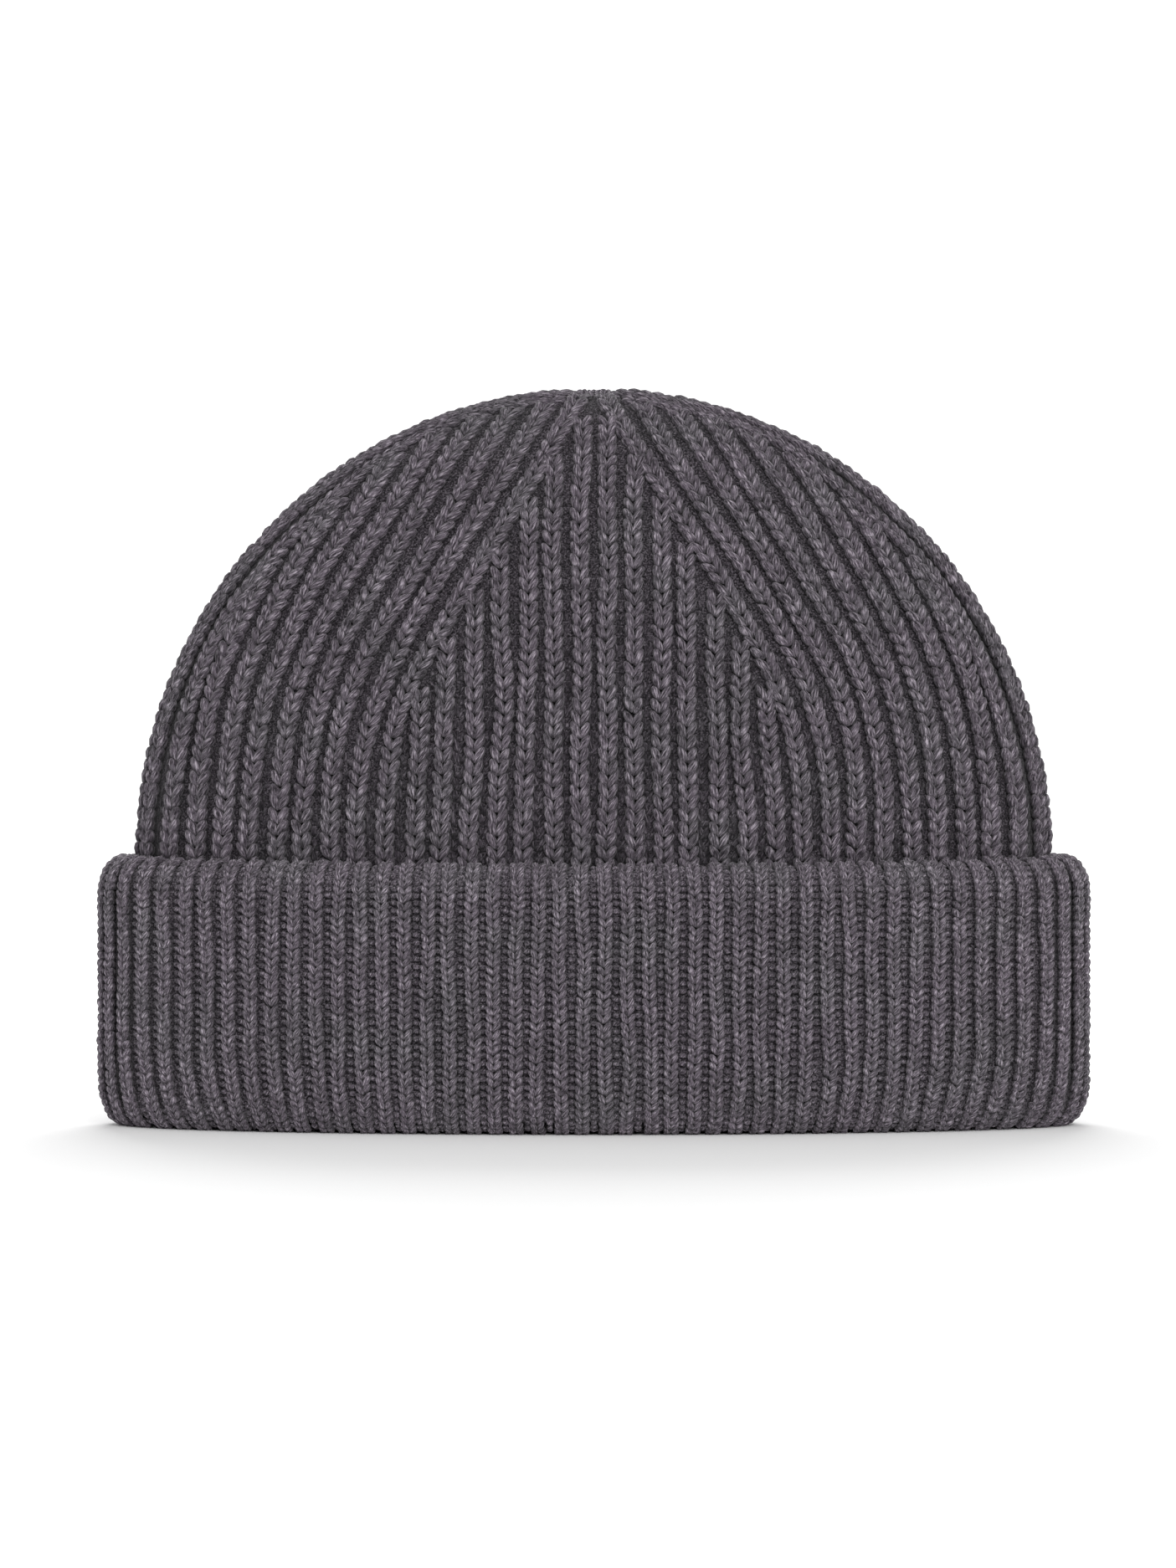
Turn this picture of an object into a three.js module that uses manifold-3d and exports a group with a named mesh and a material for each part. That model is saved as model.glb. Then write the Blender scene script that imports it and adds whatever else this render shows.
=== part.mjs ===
// A relaxed rib-knit beanie with a turned-up cuff, standing on its rim.
// +Z is up, the front faces -Y, and the origin is the centre of the rim's underside. Lengths are in millimetres.
//
// The crown is a chunky knit shell. Its wall runs straight down behind the cuff and is joined to the cuff band at
// the rim. The band is a finer knit, folded double at its top edge, so the cuff has an outer and an inner layer.

import * as THREE from "three";
import { mergeVertices } from "three/addons/utils/BufferGeometryUtils.js";
import Module from "manifold-3d";

// Driving dimensions.
const CROWN_HALF_WIDTH = 101.5; // outside of the crown above the cuff, along X
const CROWN_HALF_DEPTH = 38; // the same along Y
const CROWN_RISE = 103.5; // from the cuff's top edge to the apex
const CROWN_WALL = 4; // thickness of the chunky knit
const CROWN_HEM = 3.2; // height of the crown's lower edge above the floor
const CUFF_HEIGHT = 60;
const CUFF_PROUD = 8.5; // how far the doubled cuff stands out from the crown
const CUFF_LAYER = 3.7; // thickness of the cuff's outer layer
const LINING_LAYER = 2.4; // thickness of the cuff's inner layer
const SLIDE_GAP = 0.6; // air between the crown and the cuff, so that the cuff can turn down
const PIECE_GAP = 0.4; // air between solids that touch in the fabric
const TOP_CORNER = 4.4; // radius of the cuff's upper outer edge
const BOTTOM_CORNER = 2.6; // radius of the cuff's lower outer edge
const FASHION_FOOT = 46; // half the front gore's width where its fashioning lines begin

// Small parts.
const APEX_HOLE = { halfWidth: 5, halfDepth: 4.6 };
const CLOSING_RING = { radius: 3.2, yarn: 0.9 };
const KNOT_RADIUS = 2;
const SEAM_WIDTH = 5;
const SEAM_THICK = 2;
const JOIN_SEAM = { halfWidth: 1.7, halfHeight: 1.2 };
const LABEL = { width: 25, height: 36, thick: 0.6, top: 50 };
const LABEL_THREAD = 0.7;

// How finely curves are divided.
const AROUND = 72;
const CORNER_STEPS = 5;
const DOME_STEPS = 12;

const APEX = CUFF_HEIGHT + CROWN_RISE;
const wasm = await Module();
wasm.setup();

const knit = new THREE.MeshStandardMaterial({ color: 0x625d63, roughness: 0.95, metalness: 0 });
const fineKnit = new THREE.MeshStandardMaterial({ color: 0x645f65, roughness: 0.95, metalness: 0 });
const yarn = new THREE.MeshStandardMaterial({ color: 0x57525a, roughness: 0.9, metalness: 0 });
const satin = new THREE.MeshStandardMaterial({ color: 0xe9e7e2, roughness: 0.5, metalness: 0 });
const thread = new THREE.MeshStandardMaterial({ color: 0xc9c7c4, roughness: 0.7, metalness: 0 });

// A closed three.js geometry as a solid that can be joined and cut.
function toSolid(geometry) {
  const bare = geometry.clone();
  bare.deleteAttribute("normal");
  bare.deleteAttribute("uv");
  const merged = mergeVertices(bare, 1e-3);
  return new wasm.Manifold(
    new wasm.Mesh({
      numProp: 3,
      vertProperties: new Float32Array(merged.attributes.position.array),
      triVerts: new Uint32Array(merged.index.array),
    }),
  );
}

function toGeometry(solid) {
  const { vertProperties, triVerts } = solid.getMesh();
  const geometry = new THREE.BufferGeometry();
  geometry.setAttribute("position", new THREE.BufferAttribute(vertProperties, 3));
  geometry.setIndex(new THREE.BufferAttribute(triVerts, 1));
  geometry.computeVertexNormals();
  return geometry;
}

function namedMesh(name, geometry, material) {
  const mesh = new THREE.Mesh(geometry, material);
  mesh.name = name;
  return mesh;
}

// A profile of [radius, height] points, given from the bottom up, turned about Z and squeezed to an oval.
// Its radii are half-widths along X, and depthShare is the oval's depth over its width.
function ovalTurned(profile, depthShare) {
  const points = profile.map(([radius, height]) => new THREE.Vector2(radius, height));
  return new THREE.LatheGeometry(points, AROUND).rotateX(Math.PI / 2).scale(1, depthShare, 1);
}

function quarterArc(centre, radius, from, steps) {
  return Array.from({ length: steps + 1 }, (_, i) => {
    const angle = from + (i / steps) * (Math.PI / 2);
    return [centre[0] + radius * Math.cos(angle), centre[1] + radius * Math.sin(angle)];
  });
}

// A plain oval block standing between two heights, wider than the crown by the offset.
function ovalBlock(offset, bottom, top) {
  const width = CROWN_HALF_WIDTH + offset;
  const depth = CROWN_HALF_DEPTH + offset;
  return toSolid(ovalTurned([[0, bottom], [width, bottom], [width, top], [0, top]], depth / width));
}

// The space under the crown's surface at an offset from its outside: a straight wall with half an ellipsoid on it.
function domeBlock(offset, bottom) {
  const width = CROWN_HALF_WIDTH + offset;
  const depth = CROWN_HALF_DEPTH + offset;
  const rise = CROWN_RISE + offset;
  const dome = Array.from({ length: DOME_STEPS }, (_, i) => {
    const angle = (i / DOME_STEPS) * (Math.PI / 2);
    return [width * Math.cos(angle), CUFF_HEIGHT + rise * Math.sin(angle)];
  });
  const profile = [[0, bottom], [width, bottom], ...dome, [0, CUFF_HEIGHT + rise]];
  return toSolid(ovalTurned(profile, depth / width));
}

// A thin upright sheet through the Z axis, along which the crown is divided.
function dividingSheet(x, y) {
  const sheet = new THREE.BoxGeometry(3 * CROWN_HALF_WIDTH, PIECE_GAP, 3 * APEX);
  return toSolid(sheet.rotateZ(Math.atan2(y, x)));
}

// The crown's four gores. Their borders start where the fashioning lines do and meet at the apex.
function crownGores() {
  const hole = toSolid(
    new THREE.CylinderGeometry(1, 1, CROWN_RISE, AROUND / 2)
      .rotateX(Math.PI / 2)
      .scale(APEX_HOLE.halfWidth, APEX_HOLE.halfDepth, 1)
      .translate(0, 0, APEX),
  );
  const footDepth = CROWN_HALF_DEPTH * Math.sqrt(1 - (FASHION_FOOT / CROWN_HALF_WIDTH) ** 2);
  const parts = domeBlock(0, CROWN_HEM)
    .subtract(domeBlock(-CROWN_WALL, CROWN_HEM - CROWN_WALL))
    .subtract(hole)
    .subtract(dividingSheet(FASHION_FOOT, footDepth))
    .subtract(dividingSheet(FASHION_FOOT, -footDepth))
    .decompose();
  return parts.map((part) => {
    const { min, max } = part.boundingBox();
    const x = (min[0] + max[0]) / 2;
    const y = (min[1] + max[1]) / 2;
    const side = Math.abs(x) > Math.abs(y) ? (x > 0 ? "left" : "right") : y > 0 ? "back" : "front";
    return namedMesh(`crown_${side}_gore`, toGeometry(part), knit);
  });
}

// The yarn drawn through the last loops, which gathers the apex.
function closingYarn() {
  const ring = new THREE.TorusGeometry(CLOSING_RING.radius, CLOSING_RING.yarn, 10, 24);
  return namedMesh("crown_closing_yarn", ring.translate(0, 0, APEX - 1.6), yarn);
}

// The knot that fastens the closing yarn on the inside.
function closingKnot() {
  const knot = new THREE.SphereGeometry(KNOT_RADIUS, 16, 10).rotateX(Math.PI / 2);
  return namedMesh("closing_yarn_knot", knot.translate(0, 0, APEX - 5.2), yarn);
}

// The linked seam up the centre of the back, a welt on the inside of the crown.
function crownBackSeam() {
  const low = 5;
  const edge = (inset) => {
    const depth = CROWN_HALF_DEPTH - CROWN_WALL - inset;
    const rise = CROWN_RISE - CROWN_WALL - inset;
    const arc = Array.from({ length: DOME_STEPS }, (_, i) => {
      const angle = (i / DOME_STEPS) * (Math.PI / 2);
      return new THREE.Vector2(depth * Math.cos(angle), CUFF_HEIGHT + rise * Math.sin(angle));
    });
    return [new THREE.Vector2(depth, low), ...arc];
  };
  const outline = new THREE.Shape([...edge(PIECE_GAP), ...edge(PIECE_GAP + SEAM_THICK).reverse()]);
  const welt = new THREE.ExtrudeGeometry(outline, { depth: SEAM_WIDTH, bevelEnabled: false });
  welt.translate(0, 0, -SEAM_WIDTH / 2).rotateX(Math.PI / 2).rotateZ(Math.PI / 2);
  return namedMesh("crown_back_seam", welt, yarn);
}

// The chain of yarn round the rim that links the crown's lower edge to the cuff band.
function joiningSeam() {
  const middle = -JOIN_SEAM.halfWidth - 0.1;
  const height = JOIN_SEAM.halfHeight + PIECE_GAP;
  const profile = Array.from({ length: 9 }, (_, i) => {
    const angle = (i / 8) * 2 * Math.PI;
    return [JOIN_SEAM.halfWidth * Math.cos(angle), height + JOIN_SEAM.halfHeight * Math.sin(angle)];
  });
  const width = CROWN_HALF_WIDTH + middle;
  const depth = CROWN_HALF_DEPTH + middle;
  const points = profile.map(([out, up]) => new THREE.Vector2(width + out, up));
  const ring = new THREE.LatheGeometry(points, AROUND).rotateX(Math.PI / 2);
  const place = ring.attributes.position;
  for (let i = 0; i < place.count; i++) {
    const angle = Math.atan2(place.getY(i), place.getX(i));
    const out = Math.hypot(place.getX(i), place.getY(i)) - width;
    place.setXY(i, (width + out) * Math.cos(angle), (depth + out) * Math.sin(angle));
  }
  return namedMesh("band_joining_seam", ring, yarn);
}

// The cuff's outer layer. It turns in at the top fold and at the rim, round the inner layer.
function cuffOuterLayer() {
  const width = CROWN_HALF_WIDTH + CUFF_PROUD;
  const depth = CROWN_HALF_DEPTH + CUFF_PROUD;
  const bottom = quarterArc([width - BOTTOM_CORNER, BOTTOM_CORNER], BOTTOM_CORNER, -Math.PI / 2, CORNER_STEPS);
  const top = quarterArc([width - TOP_CORNER, CUFF_HEIGHT - TOP_CORNER], TOP_CORNER, 0, CORNER_STEPS);
  const block = toSolid(ovalTurned([[0, 0], ...bottom, ...top, [0, CUFF_HEIGHT]], depth / width));
  const pocket = ovalBlock(CUFF_PROUD - CUFF_LAYER, CUFF_LAYER, CUFF_HEIGHT - CUFF_LAYER);
  const through = ovalBlock(SLIDE_GAP, -1, CUFF_HEIGHT + 1);
  return namedMesh("cuff_outer_layer", toGeometry(block.subtract(pocket).subtract(through)), fineKnit);
}

// The cuff's inner layer, hidden between the outer layer and the crown.
function cuffInnerLayer() {
  const low = CUFF_LAYER + PIECE_GAP;
  const high = CUFF_HEIGHT - CUFF_LAYER - PIECE_GAP;
  const inner = SLIDE_GAP + PIECE_GAP / 2;
  const sleeve = ovalBlock(inner + LINING_LAYER, low, high).subtract(ovalBlock(inner, low - 1, high + 1));
  return namedMesh("cuff_inner_layer", toGeometry(sleeve), fineKnit);
}

// The seam that closes the cuff band at the back, lying between its two layers.
function cuffBackSeam() {
  const out = SLIDE_GAP + PIECE_GAP / 2 + LINING_LAYER;
  const room = CUFF_PROUD - CUFF_LAYER - out;
  const thick = room - 2 * PIECE_GAP;
  const height = CUFF_HEIGHT - 2 * CUFF_LAYER - 2 * PIECE_GAP;
  const strip = new THREE.BoxGeometry(SEAM_WIDTH, thick, height);
  strip.translate(0, CROWN_HALF_DEPTH + out + room / 2, CUFF_HEIGHT / 2);
  return namedMesh("cuff_back_seam", strip, yarn);
}

// The blank care label, folded double and hanging inside the back.
function careLabel() {
  const wall = CROWN_HALF_DEPTH - CROWN_WALL - SEAM_THICK - 2 * PIECE_GAP;
  const label = new THREE.BoxGeometry(LABEL.width, LABEL.thick, LABEL.height);
  label.translate(0, wall - LABEL.thick / 2, LABEL.top - LABEL.height / 2);
  return namedMesh("care_label", label, satin);
}

// The row of stitches along the label's top edge: one thread that dips and rises.
function careLabelStitching() {
  const wall = CROWN_HALF_DEPTH - CROWN_WALL - SEAM_THICK - 3 * PIECE_GAP - LABEL.thick;
  const stitches = 8;
  const run = LABEL.width - 3;
  const path = Array.from({ length: 2 * stitches + 1 }, (_, i) => {
    const x = -run / 2 + (run * i) / (2 * stitches);
    const rise = i % 2 ? LABEL_THREAD : 0;
    return new THREE.Vector3(x, wall - LABEL_THREAD, LABEL.top - 2.5 + rise);
  });
  const section = new THREE.Shape();
  section.absarc(0, 0, LABEL_THREAD / 2, 0, 2 * Math.PI);
  const line = new THREE.ExtrudeGeometry(section, {
    extrudePath: new THREE.CatmullRomCurve3(path),
    steps: 6 * stitches,
    curveSegments: 4,
    bevelEnabled: false,
  });
  return namedMesh("care_label_stitching", line, thread);
}

const hat = new THREE.Group();
hat.add(
  ...crownGores(),
  closingYarn(),
  closingKnot(),
  crownBackSeam(),
  joiningSeam(),
  careLabel(),
  careLabelStitching(),
);

const cuff = new THREE.Group();
cuff.add(cuffOuterLayer(), cuffInnerLayer(), cuffBackSeam());

const beanie = new THREE.Group();
beanie.add(hat, cuff);

export default beanie;
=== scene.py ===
"""A relaxed rib-knit beanie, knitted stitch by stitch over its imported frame.

Lengths are in metres. The hat stands on its rim, its front faces -Y and +Z is up. Each wale is a path over
the crown or the cuff, and each stitch on it is a pair of plump yarn legs that lean together into a V.
"""

import math

import bpy
import numpy as np
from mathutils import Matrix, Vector


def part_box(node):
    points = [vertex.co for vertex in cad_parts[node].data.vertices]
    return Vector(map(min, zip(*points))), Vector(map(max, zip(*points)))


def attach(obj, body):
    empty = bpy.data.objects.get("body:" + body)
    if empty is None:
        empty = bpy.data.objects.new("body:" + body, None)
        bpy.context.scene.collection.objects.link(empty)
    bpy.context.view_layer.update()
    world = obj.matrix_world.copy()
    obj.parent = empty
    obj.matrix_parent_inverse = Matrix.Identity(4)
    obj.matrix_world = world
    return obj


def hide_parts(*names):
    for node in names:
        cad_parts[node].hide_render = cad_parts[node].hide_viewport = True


bl_info = {
    "name": "Rib-Knit Beanie",
    "version": (1, 0, 0),
    "blender": (4, 5, 0),
    "location": "View3D > Sidebar > Beanie",
    "description": "Knits a chunky ribbed crown and a finer turned-up cuff, with their seams and label",
    "category": "Add Mesh",
}

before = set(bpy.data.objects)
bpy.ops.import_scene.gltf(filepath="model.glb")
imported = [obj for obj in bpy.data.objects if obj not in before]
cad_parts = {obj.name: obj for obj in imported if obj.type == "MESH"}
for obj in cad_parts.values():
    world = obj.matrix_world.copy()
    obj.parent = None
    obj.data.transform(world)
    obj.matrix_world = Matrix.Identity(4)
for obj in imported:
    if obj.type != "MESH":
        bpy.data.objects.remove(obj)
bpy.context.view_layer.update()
CUFF_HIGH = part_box("cuff_outer_layer")[1]
SIDE_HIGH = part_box("crown_left_gore")[1]
BACK_LOW, BACK_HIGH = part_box("crown_back_gore")
RING_LOW, RING_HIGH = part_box("crown_closing_yarn")
KNOT_LOW, KNOT_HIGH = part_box("closing_yarn_knot")
LINK_LOW, LINK_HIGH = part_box("band_joining_seam")
BAND_SEAM_LOW, BAND_SEAM_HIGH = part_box("cuff_back_seam")
LABEL_LOW, LABEL_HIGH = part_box("care_label")
MM = 0.001

# How much single stitches differ: standard deviations, as shares of the yarn, the row or the rib's width.
RIB_SWAY = 0.045
LEG_LIFT = 0.03
LEG_PLUMP = 0.05
LEG_SLIP = 0.05
LEG_TWIST = 0.07
LEG_WIDTH = 0.03
LEG_THICKNESS = 0.05
BAR_LIFT = 0.04
BAR_WIDTH = 0.08
BAR_TWIST = 0.12
TONE_SPREAD = 0.16

LEG_DEPTH = 0.45  # how far the middles of the legs lie under the fabric's face, as a share of the yarn
LEGS_ACROSS = 0.8  # width that a pair of legs covers, as a share of the rib's width
BAR_PHASE = 0.9  # where the first purl bar of a groove lies, in rows from its foot


def length(name, description, millimetres):
    """A length that a user may change, given in millimetres and kept in metres."""
    return bpy.props.FloatProperty(
        name=name,
        description=description,
        default=millimetres * MM,
        unit="LENGTH",
        precision=5,
    )


def number(name, description, value):
    """A plain number that a user may change."""
    return bpy.props.FloatProperty(name=name, description=description, default=value)


def colour(name, description, value):
    """A linear colour that a user may change."""
    return bpy.props.FloatVectorProperty(
        name=name,
        description=description,
        default=value,
        subtype="COLOR",
        size=3,
        min=0.0,
        max=1.0,
    )


class BeanieCrownSizes(bpy.types.PropertyGroup):
    """The chunky knit of the crown."""

    half_width: length("Half width", "Half the crown's width above the cuff", SIDE_HIGH[0] / MM)
    half_depth: length("Half depth", "Half the crown's depth above the cuff", BACK_HIGH[1] / MM)
    brim: length("Brim height", "Height of the cuff's top edge, where the dome starts", CUFF_HIGH[2] / MM)
    rise: length("Rise", "Height of the dome above the brim", (BACK_HIGH[2] - CUFF_HIGH[2]) / MM + 0.3)
    hem: length("Hem height", "Height of the crown's lower edge", BACK_LOW[2] / MM)
    wall: length("Wall", "Thickness of the knit", 4.0)
    row: length("Row height", "Height of one stitch", 2.69)
    top_pitch: length("Wale pitch above", "Distance between the ribs on the upper dome", 5.82)
    yarn: length("Yarn", "Thickness of the chunky yarn", 2.5)
    gore_wales: bpy.props.IntProperty(
        name="Gore wales", description="Ribs in half the front gore", default=7, min=3, max=12
    )
    quarter_wales: number(
        "Quarter wales", "Ribs in a quarter of the crown, with half of the one on the side edge", 17.5
    )
    side_ribs: number(
        "Side ribs", "Ribs that follow the side edge over the top, either side of the middle one", 2.0
    )
    side_draw: number("Side draw", "Share by which the ribs of the side edge close up at the apex", 0.4)
    gather_drop: length("Gather depth", "How far the apex is drawn in by its closing yarn", 1.3)
    gather_reach: length("Gather reach", "Radius of the drawn-in part of the apex", 5.0)
    gore_foot: number("Gore foot", "Share of the rise at which the fashioning line bends to vertical", 0.372)
    gore_lean: number("Gore lean", "How far the fashioning line runs inwards for each unit it rises", 0.603)


class BeanieCuffSizes(bpy.types.PropertyGroup):
    """The finer knit of the turned-up cuff."""

    half_width: length("Half width", "Half the cuff's width", CUFF_HIGH[0] / MM)
    half_depth: length("Half depth", "Half the cuff's depth", CUFF_HIGH[1] / MM)
    height: length("Height", "Height of the turned-up cuff", CUFF_HIGH[2] / MM)
    thick: length("Thickness", "Thickness of the doubled band", 7.7)
    row: length("Row height", "Height of one stitch", 1.74)
    yarn: length("Yarn", "Thickness of the finer yarn", 2.0)
    wales: bpy.props.IntProperty(
        name="Wales", description="Ribs all the way round", default=96, min=40, max=160
    )
    top_round: length("Top round", "How far in the face rounds over at the top fold", 5.7)
    top_fall: length("Top fall", "How far below the top fold the face starts to round over", 8.5)
    inner_round: length("Inner round", "Radius of the top fold's inner half", 1.5)
    foot_round: length("Foot round", "How far in the face rounds under at the rim", 5.6)
    foot_rise: length("Foot rise", "How far above the rim the face starts to round under", 10.5)
    sag: length("Sag", "How far the ribs near the sides drift towards the middle at the rim", 3.0)
    top_dip: length("Top dip", "How far the top fold sinks at the middle of the front and back", 0.9)
    sag_rise: length("Sag rise", "Height below which they drift", 20.0)
    rib_share: number("Rib share", "Width of a rib as a share of the distance between ribs", 0.92)


class BeanieColours(bpy.types.PropertyGroup):
    """Yarn, label and stage colours, linear."""

    yarn_dark: colour("Dark fibre", "Darkest fibre in the heather", (0.022, 0.018, 0.023))
    yarn_mid: colour("Main fibre", "Most of the fibre in the heather", (0.128, 0.107, 0.132))
    yarn_light: colour("Light fibre", "Palest fibre in the heather", (0.440, 0.392, 0.446))
    yarn_cool: colour("Cool fibre", "Green-grey fibre in the heather", (0.112, 0.113, 0.118))
    label: colour("Label", "Woven satin of the blank label", (0.80, 0.79, 0.76))
    thread: colour("Thread", "Sewing thread", (0.58, 0.57, 0.55))
    floor: colour("Floor", "Pale studio floor", (0.90, 0.90, 0.90))


# ---------------------------------------------------------------- small helpers


def deselect():
    """Leaves nothing selected, in object mode."""
    active = bpy.context.view_layer.objects.active
    if active is not None and active.mode != "OBJECT":
        bpy.ops.object.mode_set(mode="OBJECT")
    bpy.ops.object.select_all(action="DESELECT")


def pick(obj):
    """Selects one object alone and makes it active."""
    deselect()
    obj.select_set(True)
    bpy.context.view_layer.objects.active = obj


def unit(vectors):
    """The same directions at length one."""
    return vectors / np.maximum(np.linalg.norm(vectors, axis=-1, keepdims=True), 1e-12)


def smoothstep(share):
    """Eases from 0 to 1 as the share goes from 0 to 1."""
    share = np.clip(share, 0.0, 1.0)
    return share * share * (3.0 - 2.0 * share)


def mesh_points(mesh):
    """A mesh's points as an array, one row each."""
    points = np.empty(len(mesh.vertices) * 3)
    mesh.vertices.foreach_get("co", points)
    return points.reshape(-1, 3)


def set_mesh_points(mesh, points):
    """Moves a mesh's points to the rows of an array."""
    mesh.vertices.foreach_set("co", np.asarray(points, dtype=np.float32).ravel())
    mesh.update()


class Oval:
    """An ellipse walked from the front centre towards the wearer's left.

    The walk counts sideways travel, and true travel divided by the stretch where the side turns away, so that
    ribs laid at even steps look even from the front and are drawn apart a little round the sides.
    """

    def __init__(self, half_width, half_depth, stretch=1.35, steps=8192):
        self.half_width = half_width
        self.half_depth = half_depth
        turn = np.linspace(0.0, 2.0 * math.pi, steps + 1)
        self.x = half_width * np.sin(turn)
        self.y = -half_depth * np.cos(turn)
        travel = np.hypot(np.diff(self.x), np.diff(self.y))
        counted = np.maximum(np.abs(np.diff(self.x)), travel / stretch)
        self.walked = np.concatenate([[0.0], np.cumsum(counted)])
        self.drawn_apart = np.append(travel / counted, 1.0)
        self.round = self.walked[-1]

    def at(self, arc):
        """X and Y at that far along the walk."""
        arc = np.mod(arc, self.round)
        return np.interp(arc, self.walked, self.x), np.interp(arc, self.walked, self.y)

    def spread(self, arc):
        """How far apart ribs at even steps are drawn there."""
        return np.interp(np.mod(arc, self.round), self.walked, self.drawn_apart)

    def outward(self, arc):
        """The level direction that points out of the oval there."""
        x, y = self.at(arc)
        return unit(np.stack([x / self.half_width**2, y / self.half_depth**2], axis=-1))


# ---------------------------------------------------------------- yarn shapes


class Bead:
    """One short length of yarn as arrays, modelled once and copied. Y runs along the wale and Z out."""

    def __init__(self, obj):
        mesh = obj.data
        self.points = mesh_points(mesh)
        self.corners = np.empty(len(mesh.loops), dtype=np.int32)
        mesh.loops.foreach_get("vertex_index", self.corners)
        self.starts = np.empty(len(mesh.polygons), dtype=np.int32)
        mesh.polygons.foreach_get("loop_start", self.starts)
        uv = np.empty(len(mesh.loops) * 2)
        mesh.uv_layers.active.data.foreach_get("uv", uv)
        self.uv = uv.reshape(-1, 2)
        bpy.data.objects.remove(obj, do_unlink=True)
        share = self.points / np.abs(self.points).max(axis=0)
        # Painted shade: each bead is darkened towards its sides and its tips, where its neighbours would
        # shade it.
        side_shade, tip_shade = 0.9, 0.45
        sides = 1.0 - smoothstep((share[:, 2] + 0.5) / 1.3)
        self.painted_crevice_shade = -side_shade * sides - tip_shade * np.abs(share[:, 1]) ** 3


def model_bead(segments, rings, size, lean=0.0, dive=0.0, place=(0.0, 0.0, 0.0)):
    """A plump bead lying along Y, turned by dive about X and by lean about Z, then moved to its place."""
    deselect()
    bpy.ops.mesh.primitive_uv_sphere_add(
        segments=segments, ring_count=rings, radius=0.5, rotation=(math.pi / 2, 0.0, 0.0)
    )
    bead = bpy.context.object
    bpy.ops.object.transform_apply(location=False, rotation=True, scale=False)
    bead.scale = size
    bpy.ops.object.transform_apply(location=False, rotation=False, scale=True)
    bead.rotation_euler = (dive, 0.0, 0.0)
    bpy.ops.object.transform_apply(location=False, rotation=True, scale=False)
    bead.rotation_euler = (0.0, 0.0, lean)
    bead.location = place
    bpy.ops.object.transform_apply(location=True, rotation=True, scale=False)
    return Bead(bead)


class Knitting:
    """Gathers copies of the yarn shapes and casts them off as one mesh."""

    def __init__(self, seed):
        self.chance = np.random.default_rng(seed)
        self.points = []
        self.corners = []
        self.starts = []
        self.uv = []
        self.own_uv = []
        self.serial = []
        self.tone_and_shade = []
        self.bead_count = 0
        self.point_count = 0
        self.corner_count = 0

    def lay(self, bead, place, across, along, out, tone_and_shade=0.0):
        """A copy of the bead at each place. across, along and out are its axes there, already scaled."""
        count = len(place)
        if count == 0:
            return
        local = bead.points
        points = (
            place[:, None, :]
            + local[None, :, 0:1] * across[:, None, :]
            + local[None, :, 1:2] * along[:, None, :]
            + local[None, :, 2:3] * out[:, None, :]
        )
        steps = np.arange(count, dtype=np.int64)[:, None]
        corners = bead.corners[None, :] + steps * len(local) + self.point_count
        starts = bead.starts[None, :] + steps * len(bead.corners) + self.corner_count
        shift = self.chance.uniform(0.0, 40.0, (count, 1, 2))
        # Random tone for each bead, plus painted shade: the bead's own crevice shade and any shade given for
        # the whole bead.
        shade = tone_and_shade + self.chance.normal(0.0, TONE_SPREAD, (count, 1)) + bead.painted_crevice_shade[None, :]
        self.points.append(points.reshape(-1, 3))
        self.corners.append(corners.ravel())
        self.starts.append(starts.ravel())
        self.uv.append((bead.uv[None, :, :] + shift).reshape(-1, 2))
        self.own_uv.append(np.tile(bead.uv, (count, 1)))
        self.serial.append(np.repeat(np.arange(count) + self.bead_count, len(bead.corners)))
        self.tone_and_shade.append(shade.ravel())
        self.bead_count += count
        self.point_count += count * len(local)
        self.corner_count += count * len(bead.corners)

    def cast_off(self, name):
        """One mesh of all the beads, with the yarn's UV map and the tone of each point, which holds random
        tone and painted shade.
        """
        mesh = bpy.data.meshes.new(name)
        starts = np.concatenate(self.starts)
        mesh.vertices.add(self.point_count)
        mesh.vertices.foreach_set("co", np.concatenate(self.points).astype(np.float32).ravel())
        mesh.loops.add(self.corner_count)
        mesh.loops.foreach_set("vertex_index", np.concatenate(self.corners).astype(np.int32))
        mesh.polygons.add(len(starts))
        mesh.polygons.foreach_set("loop_start", starts.astype(np.int32))
        mesh.polygons.foreach_set("use_smooth", np.ones(len(starts), dtype=bool))
        mesh.update(calc_edges=True)
        layer = mesh.uv_layers.new(name="yarn")
        layer.data.foreach_set("uv", np.concatenate(self.uv).astype(np.float32).ravel())
        self.spread_out(mesh)
        tone_and_shade = mesh.attributes.new("tone_and_shade", "FLOAT", "POINT")
        tone_and_shade.data.foreach_set("value", np.concatenate(self.tone_and_shade).astype(np.float32))
        piece = bpy.data.objects.new(name, mesh)
        bpy.context.scene.collection.objects.link(piece)
        return piece

    def spread_out(self, mesh):
        """A second UV map that gives each bead its own cell of a square grid, for a baked texture."""
        across = math.ceil(math.sqrt(self.bead_count))
        serial = np.concatenate(self.serial)
        cell = np.stack([serial % across, serial // across], axis=-1)
        margin = 0.08
        inside = margin + (1.0 - 2.0 * margin) * np.clip(np.concatenate(self.own_uv), 0.0, 1.0)
        layer = mesh.uv_layers.new(name="OFBake", do_init=False)
        layer.data.foreach_set("uv", ((cell + inside) / across).astype(np.float32).ravel())


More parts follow.
